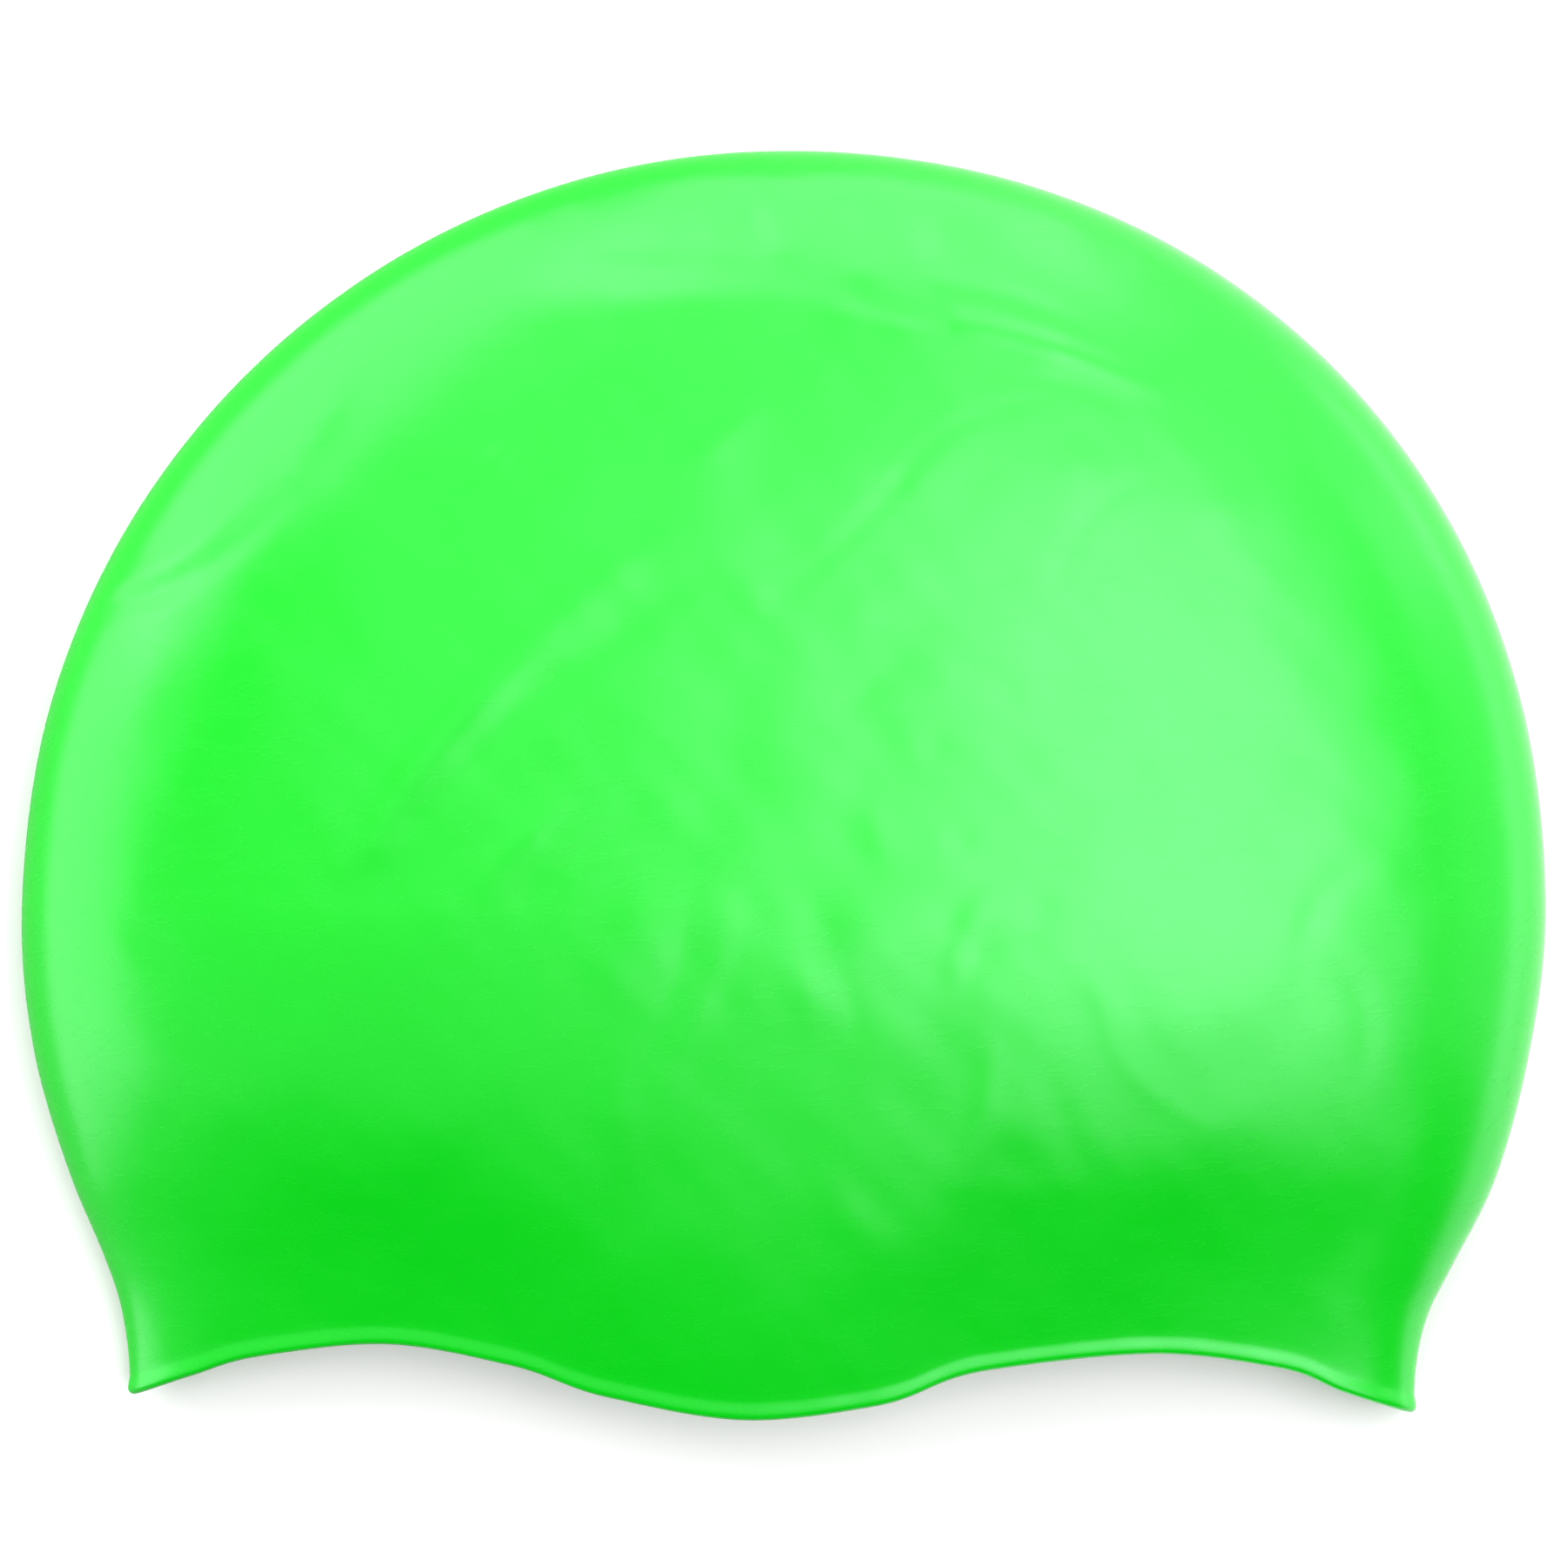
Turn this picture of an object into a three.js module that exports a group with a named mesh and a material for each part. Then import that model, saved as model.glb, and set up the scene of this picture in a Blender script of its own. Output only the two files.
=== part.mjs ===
// Silicone swim cap lying on its side, as it rests unworn. Two puffed side panels meet in a rounded
// crest that runs from one rim corner over the crown to the other, and the waved rim has a thicker lip.
// Millimetres. +X runs along the mouth, +Y from the rim to the crown top, +Z up. The origin is on
// the surface that the cap lies on, under the middle of its outline.

import * as THREE from 'three';

// Driving dimensions
const CAP_WIDTH = 230; // across the widest part, crest to crest
const CROWN_RISE = 114.2; // widest line to crown top
const SIDE_DROP = 75.7; // widest line to the middle height of the two rim corners
const RIM_SLANT = 2.8; // left rim corner above the right one
const SCOOP_RISE = 9.5; // how far the rim rises over each ear
const SCOOP_REACH = 62; // how far above the rim that wave has died out
const PUFF_HEIGHT = 38; // top of the upper panel above the ground
const MOUTH_GAP = 18; // top of the rim above the ground, at its middle
const CREST_LIFT = 11; // crest above the ground round the crown
const CORNER_LIFT = 5; // crest above the ground at the rim corners
const GROUND_PRESS = 5; // how far the lower panel would sag below the ground
const GROUND_CLEARANCE = 0.4; // any part of the lower panel nearer to the ground than this lies on it
const WALL = 1; // silicone wall
const LIP_THICKNESS = 1.8; // moulded lip along the rim
const LIP_DEPTH = 3.2; // how far the lip reaches up the wall

// Fullness is the power of a superellipse: 2 is an ellipse, more is squarer.
const LEFT_CROWN_FULLNESS = 1.98;
const RIGHT_CROWN_FULLNESS = 2.09;
const DOME_FULLNESS = 2.2;
const PANEL_FULLNESS = 2.5;
const MOUTH_FULLNESS = 2.3;
const MOUTH_EASE = 1.6; // power by which sections close from the widest line to the mouth

// Mesh density
const POINTS_PER_PANEL = 38;
const BODY_RINGS = 34;
const PANEL_SPREAD = 0.3; // moves section points from the crest towards the panel's middle
const CROWN_STATIONS = 6;
const LIP_STEPS = [0.15, 0.5, 1]; // lip rings, as shares of the round edge's radius
const LIP_FADE = 0.6; // one more lip ring, as a share of the lip's depth

// Sides of the outline below the widest line. down is a share of SIDE_DROP, and left and right are
// shares of half the cap's width.
const SIDE_ROWS = [
  { name: 'widest', down: 0, left: 1, right: 1 },
  { name: 'cheek', down: 0.28, left: 0.986, right: 0.981 },
  { name: 'jaw', down: 0.54, left: 0.94, right: 0.936 },
  { name: 'taper', down: 0.71, left: 0.897, right: 0.88 },
  { name: 'flare', down: 0.8, left: 0.878, right: 0.851 },
  { name: 'hem', down: 0.89, left: 0.868, right: 0.837 },
  { name: 'rim corner', down: 1, left: 0.864, right: 0.833 },
];

// Rim line. along is a share of the way from the left to the right rim corner, and rise is a share of
// SCOOP_RISE above the straight line between them.
const RIM_ROWS = [
  { name: 'left corner', along: 0, rise: 0 },
  { name: 'left edge', along: 0.05, rise: 0.39 },
  { name: 'left rise', along: 0.105, rise: 0.74 },
  { name: 'left scoop', along: 0.2, rise: 0.98 },
  { name: 'left fall', along: 0.295, rise: 0.7 },
  { name: 'left of middle', along: 0.375, rise: 0.2 },
  { name: 'middle', along: 0.482, rise: -0.12 },
  { name: 'right of middle', along: 0.577, rise: 0.12 },
  { name: 'right fall', along: 0.67, rise: 0.73 },
  { name: 'right scoop', along: 0.8, rise: 1 },
  { name: 'right rise', along: 0.89, rise: 0.79 },
  { name: 'right edge', along: 0.945, rise: 0.38 },
  { name: 'right corner', along: 1, rise: 0 },
];

// Dents and low ridges of the upper panel. x is a share of half the width, y a share of half the height,
// turn is in degrees, length and width are shares of CAP_WIDTH, and depth is a share of PUFF_HEIGHT,
// with ridges below 0.
const DENT_ROWS = [
  { name: 'left shoulder crease', x: -0.76, y: 0.33, turn: 33, length: 0.085, width: 0.017, depth: 0.05 },
  { name: 'left diagonal ridge', x: -0.4, y: 0.11, turn: 45, length: 0.12, width: 0.03, depth: -0.026 },
  { name: 'inner ridge', x: -0.29, y: -0.08, turn: 35, length: 0.05, width: 0.025, depth: -0.018 },
  { name: 'crown valley', x: 0.15, y: 0.47, turn: 38, length: 0.12, width: 0.03, depth: 0.032 },
  { name: 'upper crown ridge', x: 0.36, y: 0.64, turn: -14, length: 0.08, width: 0.022, depth: -0.02 },
  { name: 'centre dip', x: -0.11, y: -0.3, turn: 70, length: 0.05, width: 0.03, depth: 0.022 },
  { name: 'centre ridge', x: 0.04, y: -0.25, turn: -65, length: 0.05, width: 0.026, depth: -0.02 },
  { name: 'right ridge', x: 0.47, y: -0.41, turn: -50, length: 0.05, width: 0.024, depth: -0.02 },
];

const halfWidth = CAP_WIDTH / 2;
const halfHeight = (CROWN_RISE + SIDE_DROP + RIM_SLANT / 2) / 2;
const widestY = halfHeight - CROWN_RISE;
const halfWall = WALL / 2;

function smoothStep(value) {
  return THREE.MathUtils.smoothstep(value, 0, 1);
}

// One side of the middle of the wall's outline, from the rim corner up to just short of the crown top.
function crestSide(sideName, direction, fullness) {
  const reach = halfWidth - halfWall;
  const points = [];
  for (const row of [...SIDE_ROWS].reverse()) {
    points.push(new THREE.Vector3(direction * reach * row[sideName], widestY - SIDE_DROP * row.down, 0));
  }
  for (let station = 1; station < CROWN_STATIONS; station += 1) {
    const rise = Math.sin((station / CROWN_STATIONS) * (Math.PI / 2));
    const x = direction * reach * (1 - rise ** fullness) ** (1 / fullness);
    points.push(new THREE.Vector3(x, widestY + (CROWN_RISE - halfWall) * rise, 0));
  }
  return points;
}

function crestCurve() {
  const left = crestSide('left', -1, LEFT_CROWN_FULLNESS);
  const right = crestSide('right', 1, RIGHT_CROWN_FULLNESS);
  const top = new THREE.Vector3(0, widestY + CROWN_RISE - halfWall, 0);
  const curve = new THREE.CatmullRomCurve3([...left, top, ...right.reverse()], false, 'centripetal');
  curve.arcLengthDivisions = 800;
  return curve;
}

const crest = crestCurve();
const crestLength = crest.getLength() / 2;
const rimLine = new THREE.CatmullRomCurve3(
  RIM_ROWS.map((row) => new THREE.Vector3(row.along, row.rise, 0)),
  false,
  'centripetal',
);
const rimSamples = rimLine.getPoints(400);

// Rise of the rim at a share of the way from its left to its right corner.
function rimRise(along) {
  const next = Math.max(1, rimSamples.findIndex((sample) => sample.x >= along));
  const from = rimSamples[next - 1];
  const to = rimSamples[next];
  return THREE.MathUtils.mapLinear(along, from.x, to.x, from.y, to.y);
}

// Half of the wall's thickness at a distance from the rim's edge: round edge, lip, then plain wall.
function halfThickness(fromRim) {
  const lipRadius = LIP_THICKNESS / 2;
  if (fromRim < lipRadius) {
    return Math.sqrt(lipRadius ** 2 - (lipRadius - fromRim) ** 2);
  }
  const fade = smoothStep((fromRim - lipRadius) / (LIP_DEPTH - lipRadius));
  return THREE.MathUtils.lerp(lipRadius, halfWall, fade);
}

function dentDepth(x, y) {
  let depth = 0;
  for (const dent of DENT_ROWS) {
    const turn = THREE.MathUtils.degToRad(dent.turn);
    const dx = x - dent.x * halfWidth;
    const dy = y - dent.y * halfHeight;
    const along = (dx * Math.cos(turn) + dy * Math.sin(turn)) / (dent.length * CAP_WIDTH);
    const across = (dy * Math.cos(turn) - dx * Math.sin(turn)) / (dent.width * CAP_WIDTH);
    depth += dent.depth * PUFF_HEIGHT * Math.exp(-(along ** 2) - across ** 2);
  }
  return depth;
}

// One section of the cap at a distance along the crest from the rim.
function sectionAt(fromRim) {
  const place = crest.getUtoTmapping(fromRim / crestLength / 2);
  const left = crest.getPoint(place);
  const right = crest.getPoint(1 - place);
  const y = (left.y + right.y) / 2;
  const closing = Math.max(0, (widestY - y) / SIDE_DROP) ** MOUTH_EASE;
  const crownShare = THREE.MathUtils.clamp((y - widestY) / (CROWN_RISE - halfWall), 0, 1);
  const dome = (1 - crownShare ** DOME_FULLNESS) ** (1 / DOME_FULLNESS);
  const domeTop = CREST_LIFT + (PUFF_HEIGHT - halfWall - CREST_LIFT) * dome;
  return {
    left,
    right,
    lift: THREE.MathUtils.lerp(CREST_LIFT, CORNER_LIFT, closing),
    top: THREE.MathUtils.lerp(domeTop, MOUTH_GAP - halfWall, closing),
    press: GROUND_PRESS * dome,
    fullness: THREE.MathUtils.lerp(PANEL_FULLNESS, MOUTH_FULLNESS, closing),
    wave: SCOOP_RISE * (1 - smoothStep(fromRim / SCOOP_REACH)),
    slant: (RIM_SLANT / 2) * (1 - smoothStep(fromRim / SCOOP_REACH)),
    halfWall: halfThickness(fromRim),
  };
}

// Points of the middle of the wall round one section, from the right crest over the upper panel to the
// left crest and back through the lower panel.
function sectionPoints(section) {
  const points = [];
  for (let step = 0; step < 2 * POINTS_PER_PANEL; step += 1) {
    const share = step / POINTS_PER_PANEL;
    const angle = Math.PI * share + PANEL_SPREAD * Math.sin(2 * Math.PI * share) / 2;
    const cosine = Math.cos(angle);
    const power = 2 / section.fullness;
    const across = Math.sign(cosine) * Math.abs(cosine) ** power;
    const height = Math.abs(Math.sin(angle)) ** power;
    const along = (1 + across) / 2;
    const point = new THREE.Vector3().lerpVectors(section.left, section.right, along);
    point.y += section.wave * rimRise(along) - section.slant * across;
    if (share < 1) {
      point.z = section.lift + (section.top - section.lift) * height;
      point.z -= dentDepth(point.x, point.y) * smoothStep(height);
    } else {
      point.z = section.lift - (section.lift + section.press) * height;
    }
    if (point.z - section.halfWall < GROUND_CLEARANCE) {
      point.z = section.halfWall;
    }
    points.push(point);
  }
  return points;
}

function ringDistances() {
  const lipRadius = LIP_THICKNESS / 2;
  const distances = [0, ...LIP_STEPS.map((share) => share * lipRadius), LIP_FADE * LIP_DEPTH, LIP_DEPTH];
  for (let ring = 1; ring < BODY_RINGS; ring += 1) {
    distances.push(THREE.MathUtils.lerp(LIP_DEPTH, crestLength, ring / BODY_RINGS));
  }
  return distances;
}

// Outward directions of the wall, from each point's neighbours.
function ringNormals(rings, crownTop) {
  return rings.map((ring, row) => {
    const before = rings[Math.max(row - 1, 0)];
    const after = rings[row + 1] ?? ring.map(() => crownTop);
    return ring.map((point, column) => {
      const next = ring[(column + 1) % ring.length];
      const previous = ring[(column + ring.length - 1) % ring.length];
      const upwards = new THREE.Vector3().subVectors(after[column], before[column]);
      const around = new THREE.Vector3().subVectors(next, previous);
      return upwards.cross(around).normalize();
    });
  });
}

function offsetRings(rings, normals, sections, direction) {
  return rings.map((ring, row) => ring.map((point, column) => {
    const moved = point.clone().addScaledVector(normals[row][column], direction * sections[row].halfWall);
    if (direction > 0 && point.z === sections[row].halfWall) {
      moved.z = 0;
    }
    return moved;
  }));
}

// Adds a skin from the shared rim edge to its own crown top. Vertices of ring 0 are the shared edge.
function addSkin(vertices, triangles, rings, crownTop, flipped) {
  const count = rings[0].length;
  const base = vertices.length - count;
  const index = (row, column) => (row === 0 ? column % count : base + row * count + (column % count));
  rings.slice(1).forEach((ring) => vertices.push(...ring));
  vertices.push(crownTop);
  const addTriangle = (a, b, c) => triangles.push(...(flipped ? [a, c, b] : [a, b, c]));
  for (let column = 0; column < count; column += 1) {
    for (let row = 0; row < rings.length - 1; row += 1) {
      const lower = index(row, column);
      const upperNext = index(row + 1, column + 1);
      addTriangle(lower, index(row + 1, column), upperNext);
      addTriangle(lower, upperNext, index(row, column + 1));
    }
    const last = rings.length - 1;
    addTriangle(index(last, column), vertices.length - 1, index(last, column + 1));
  }
}

function shellGeometry() {
  const sections = ringDistances().map(sectionAt);
  const rings = sections.map(sectionPoints);
  const crownTop = new THREE.Vector3(0, widestY + CROWN_RISE - halfWall, CREST_LIFT);
  const normals = ringNormals(rings, crownTop);
  const outward = new THREE.Vector3(0, halfWall, 0);
  const outer = offsetRings(rings, normals, sections, 1);
  const inner = offsetRings(rings, normals, sections, -1);
  const vertices = [...rings[0]];
  const triangles = [];
  addSkin(vertices, triangles, outer, crownTop.clone().add(outward), false);
  addSkin(vertices, triangles, inner, crownTop.clone().sub(outward), true);
  const geometry = new THREE.BufferGeometry().setFromPoints(vertices);
  geometry.setIndex(triangles);
  geometry.computeVertexNormals();
  return geometry;
}

function capShell() {
  const silicone = new THREE.MeshStandardMaterial({ color: 0x46f25a, roughness: 0.42, metalness: 0 });
  const mesh = new THREE.Mesh(shellGeometry(), silicone);
  mesh.name = 'cap_shell';
  return mesh;
}

const cap = new THREE.Group();
cap.add(capShell());

export default cap;
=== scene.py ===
"""Silicone swim cap lying on its side on a pale floor, in soft studio light.

Metres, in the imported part's own frame: +X along the mouth, +Y from the rim to the crown top, +Z up.
"""

import math

import bpy
import numpy as np
from bpy.props import FloatProperty, FloatVectorProperty, IntProperty, PointerProperty
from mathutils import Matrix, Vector


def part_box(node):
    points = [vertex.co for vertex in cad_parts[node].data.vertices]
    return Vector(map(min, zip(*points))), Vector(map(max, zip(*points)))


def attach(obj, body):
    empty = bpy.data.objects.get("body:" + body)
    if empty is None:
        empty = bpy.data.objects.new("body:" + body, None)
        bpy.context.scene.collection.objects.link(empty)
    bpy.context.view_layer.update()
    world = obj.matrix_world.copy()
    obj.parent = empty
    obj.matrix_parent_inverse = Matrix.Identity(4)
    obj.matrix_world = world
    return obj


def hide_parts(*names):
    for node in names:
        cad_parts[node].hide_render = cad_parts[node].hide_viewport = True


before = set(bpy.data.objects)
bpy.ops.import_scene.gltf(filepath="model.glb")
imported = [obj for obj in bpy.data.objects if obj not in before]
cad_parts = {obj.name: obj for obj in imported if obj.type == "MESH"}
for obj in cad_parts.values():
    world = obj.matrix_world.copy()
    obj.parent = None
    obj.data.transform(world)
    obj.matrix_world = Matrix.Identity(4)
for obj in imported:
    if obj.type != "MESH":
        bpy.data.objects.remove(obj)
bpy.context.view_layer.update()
SHELL_LOW, SHELL_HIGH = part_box("cap_shell")

bl_info = {
    "name": "Swim Cap",
    "version": (1, 0, 0),
    "blender": (4, 5, 0),
    "location": "View3D > Sidebar > Swim Cap",
    "description": "Builds a moulded silicone swim cap, its silicone and a studio round it",
    "category": "Object",
}

MM = 0.001
SHELL_NODE = "cap_shell"
SHELL_PIECE = "silicone_cap"
CAD_WIDTH = SHELL_HIGH.x - SHELL_LOW.x

# Sides of the outline below the widest line. down is a share of the side drop, and left and right are
# shares of half the cap's width.
SIDE_ROWS = [
    {"name": "widest", "down": 0.0, "left": 1.0, "right": 1.0},
    {"name": "cheek", "down": 0.28, "left": 0.986, "right": 0.981},
    {"name": "jaw", "down": 0.54, "left": 0.94, "right": 0.936},
    {"name": "taper", "down": 0.71, "left": 0.897, "right": 0.88},
    {"name": "flare", "down": 0.8, "left": 0.878, "right": 0.851},
    {"name": "hem", "down": 0.89, "left": 0.868, "right": 0.837},
    {"name": "rim corner", "down": 1.0, "left": 0.864, "right": 0.833},
]

# Rim line. along is a share of the way between the rim corners, and rise a share of the scoop rise.
RIM_ROWS = [
    {"name": "left corner", "along": 0.0, "rise": 0.0},
    {"name": "left edge", "along": 0.05, "rise": 0.39},
    {"name": "left rise", "along": 0.105, "rise": 0.74},
    {"name": "left scoop", "along": 0.2, "rise": 0.98},
    {"name": "left fall", "along": 0.295, "rise": 0.7},
    {"name": "left of middle", "along": 0.375, "rise": 0.2},
    {"name": "middle", "along": 0.482, "rise": -0.12},
    {"name": "right of middle", "along": 0.577, "rise": 0.12},
    {"name": "right fall", "along": 0.67, "rise": 0.73},
    {"name": "right scoop", "along": 0.8, "rise": 1.0},
    {"name": "right rise", "along": 0.89, "rise": 0.79},
    {"name": "right edge", "along": 0.945, "rise": 0.38},
    {"name": "right corner", "along": 1.0, "rise": 0.0},
]

# Folds of the upper panel: curved strokes from start over bend to end, as shares of half the width and
# half the height. width is the fold's half width and height its height at start, middle and end, in
# millimetres, with grooves below 0.
FOLD_ROWS = [
    {"name": "left shoulder ridge", "start": (-0.87, 0.315), "bend": (-0.76, 0.34), "end": (-0.665, 0.48),
     "width": 1.6, "height": (0.7, 0.25, 0.05)},
    {"name": "left shoulder crease", "start": (-0.87, 0.28), "bend": (-0.745, 0.295), "end": (-0.635, 0.445),
     "width": 1.6, "height": (-0.7, -0.18, -0.03)},
    {"name": "left band ridge", "start": (-0.54, 0.695), "bend": (-0.58, 0.59), "end": (-0.635, 0.49),
     "width": 3.0, "height": (0.1, 0.35, 0.1)},
    {"name": "top left groove", "start": (-0.39, 0.81), "bend": (-0.23, 0.8), "end": (-0.045, 0.8),
     "width": 2.4, "height": (-0.05, -0.14, -0.05)},
    {"name": "top left ridge", "start": (-0.345, 0.715), "bend": (-0.15, 0.765), "end": (0.05, 0.74),
     "width": 2.6, "height": (0.0, 0.12, 0.06)},
    {"name": "upper left streak", "start": (-0.33, 0.54), "bend": (-0.365, 0.5), "end": (-0.405, 0.455),
     "width": 1.5, "height": (0.0, 0.2, 0.0)},
    {"name": "upper middle ridge", "start": (-0.035, 0.58), "bend": (-0.09, 0.51), "end": (-0.145, 0.48),
     "width": 2.0, "height": (0.03, 0.09, 0.03)},
    {"name": "long ridge", "start": (-0.155, 0.37), "bend": (-0.405, 0.17), "end": (-0.515, -0.09),
     "width": 3.0, "height": (0.1, 0.4, 0.3)},
    {"name": "long groove", "start": (-0.105, 0.32), "bend": (-0.3, 0.16), "end": (-0.425, -0.01),
     "width": 2.6, "height": (-0.08, -0.22, -0.08)},
    {"name": "long ridge foot", "start": (-0.425, 0.07), "bend": (-0.47, -0.085), "end": (-0.565, -0.125),
     "width": 2.2, "height": (0.0, -0.12, 0.1)},
    {"name": "second ridge", "start": (-0.26, 0.0), "bend": (-0.325, -0.07), "end": (-0.375, -0.15),
     "width": 2.0, "height": (0.05, 0.22, 0.08)},
    {"name": "second groove", "start": (-0.17, -0.055), "bend": (-0.24, -0.075), "end": (-0.33, -0.175),
     "width": 1.8, "height": (0.0, -0.09, -0.05)},
    {"name": "first crown ridge", "start": (0.205, 0.78), "bend": (0.32, 0.755), "end": (0.43, 0.67),
     "width": 1.8, "height": (0.1, 0.2, 0.06)},
    {"name": "second crown ridge", "start": (0.23, 0.71), "bend": (0.35, 0.685), "end": (0.485, 0.605),
     "width": 1.7, "height": (0.2, 0.4, 0.15)},
    {"name": "crown groove", "start": (0.25, 0.645), "bend": (0.36, 0.62), "end": (0.445, 0.58),
     "width": 1.6, "height": (0.0, -0.15, -0.05)},
    {"name": "crown left ridge", "start": (0.07, 0.725), "bend": (0.165, 0.69), "end": (0.24, 0.675),
     "width": 1.8, "height": (0.05, 0.2, 0.05)},
    {"name": "crown valley", "start": (0.33, 0.59), "bend": (0.2, 0.57), "end": (0.15, 0.465),
     "width": 1.4, "height": (-0.08, -0.05, -0.05)},
    {"name": "long valley", "start": (0.15, 0.465), "bend": (0.095, 0.385), "end": (-0.01, 0.28),
     "width": 1.4, "height": (-0.05, -0.07, -0.03)},
    {"name": "right crown groove", "start": (0.475, 0.47), "bend": (0.385, 0.445), "end": (0.35, 0.32),
     "width": 1.7, "height": (-0.03, -0.08, -0.05)},
    {"name": "middle groove", "start": (0.145, 0.18), "bend": (0.11, 0.15), "end": (0.07, 0.11),
     "width": 1.7, "height": (-0.03, -0.09, -0.03)},
    {"name": "left of centre ridge", "start": (0.12, 0.015), "bend": (0.105, -0.055), "end": (0.135, -0.14),
     "width": 2.0, "height": (0.02, 0.05, 0.02)},
    {"name": "centre crease", "start": (-0.115, -0.14), "bend": (-0.12, -0.29), "end": (-0.2, -0.495),
     "width": 1.9, "height": (-0.02, -0.06, -0.03)},
    {"name": "centre crease edge", "start": (-0.07, -0.185), "bend": (-0.08, -0.31), "end": (-0.155, -0.475),
     "width": 1.9, "height": (0.03, 0.08, 0.03)},
    {"name": "centre ridge", "start": (-0.03, -0.145), "bend": (0.015, -0.22), "end": (0.035, -0.38),
     "width": 2.0, "height": (0.0, 0.06, 0.08)},
    {"name": "centre groove", "start": (0.005, -0.14), "bend": (0.075, -0.235), "end": (0.09, -0.385),
     "width": 1.8, "height": (-0.02, -0.04, -0.06)},
    {"name": "centre hook", "start": (0.215, -0.295), "bend": (0.23, -0.18), "end": (0.285, -0.165),
     "width": 1.7, "height": (0.04, 0.12, 0.04)},
    {"name": "centre hook groove", "start": (0.235, -0.305), "bend": (0.26, -0.215), "end": (0.32, -0.255),
     "width": 1.6, "height": (-0.03, -0.08, -0.03)},
    {"name": "right streak", "start": (0.4, -0.31), "bend": (0.415, -0.47), "end": (0.56, -0.53),
     "width": 1.6, "height": (0.03, 0.08, 0.03)},
    {"name": "right streak groove", "start": (0.435, -0.32), "bend": (0.47, -0.43), "end": (0.56, -0.475),
     "width": 1.6, "height": (-0.03, -0.07, 0.0)},
    {"name": "lower crease ridge", "start": (0.26, -0.375), "bend": (0.275, -0.485), "end": (0.225, -0.62),
     "width": 2.2, "height": (0.03, 0.14, 0.05)},
    {"name": "lower bulge", "start": (0.245, -0.62), "bend": (0.31, -0.635), "end": (0.385, -0.62),
     "width": 3.0, "height": (0.03, 0.12, 0.03)},
    {"name": "lower right groove", "start": (0.315, -0.415), "bend": (0.36, -0.51), "end": (0.385, -0.595),
     "width": 2.4, "height": (0.0, -0.13, -0.03)},
    {"name": "right cheek fold", "start": (0.745, -0.12), "bend": (0.66, -0.165), "end": (0.66, -0.29),
     "width": 2.2, "height": (-0.06, -0.16, -0.07)},
    {"name": "right cheek foot", "start": (0.665, -0.265), "bend": (0.765, -0.29), "end": (0.745, -0.435),
     "width": 2.0, "height": (0.03, -0.15, -0.06)},
    {"name": "lower left ridge", "start": (-0.215, -0.435), "bend": (-0.205, -0.505), "end": (-0.21, -0.575),
     "width": 3.2, "height": (0.05, 0.3, 0.1)},
    {"name": "bottom bulge", "start": (0.055, -0.615), "bend": (0.08, -0.675), "end": (0.115, -0.715),
     "width": 3.0, "height": (0.05, 0.12, 0.03)},
]

# Round bumps of the upper panel, placed as the folds are. reach and height are in millimetres, with
# dimples below 0.
BUMP_ROWS = [
    {"name": "top knuckle", "place": (0.0, 0.93), "reach": 3.2, "height": 0.2},
    {"name": "top second knuckle", "place": (0.005, 0.835), "reach": 3.0, "height": 0.15},
    {"name": "top third knuckle", "place": (0.105, 0.79), "reach": 3.4, "height": 0.18},
    {"name": "top fourth knuckle", "place": (0.085, 0.725), "reach": 2.4, "height": 0.1},
    {"name": "top dimple", "place": (-0.045, 0.865), "reach": 3.0, "height": -0.4},
    {"name": "top second dimple", "place": (0.105, 0.885), "reach": 3.0, "height": -0.4},
    {"name": "top third dimple", "place": (0.21, 0.845), "reach": 4.0, "height": -0.5},
    {"name": "crown bump", "place": (0.385, 0.49), "reach": 3.4, "height": 0.12},
    {"name": "right crown bump", "place": (0.565, 0.425), "reach": 4.0, "height": 0.15},
    {"name": "valley bump", "place": (-0.04, 0.285), "reach": 3.0, "height": 0.08},
    {"name": "middle bump", "place": (0.095, 0.26), "reach": 3.2, "height": 0.1},
    {"name": "middle dip", "place": (0.285, 0.14), "reach": 2.6, "height": -0.09},
    {"name": "upper centre dip", "place": (0.19, 0.055), "reach": 2.2, "height": -0.08},
    {"name": "right middle dip", "place": (0.44, 0.015), "reach": 3.4, "height": -0.14},
    {"name": "right middle bump", "place": (0.51, -0.01), "reach": 4.2, "height": 0.12},
    {"name": "centre dimple", "place": (0.225, -0.09), "reach": 2.2, "height": -0.09},
    {"name": "right dimple", "place": (0.325, -0.19), "reach": 2.4, "height": -0.08},
    {"name": "centre left bump", "place": (-0.185, -0.185), "reach": 3.4, "height": 0.06},
    {"name": "fleck", "place": (0.55, -0.09), "reach": 1.6, "height": 0.08},
]

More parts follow.
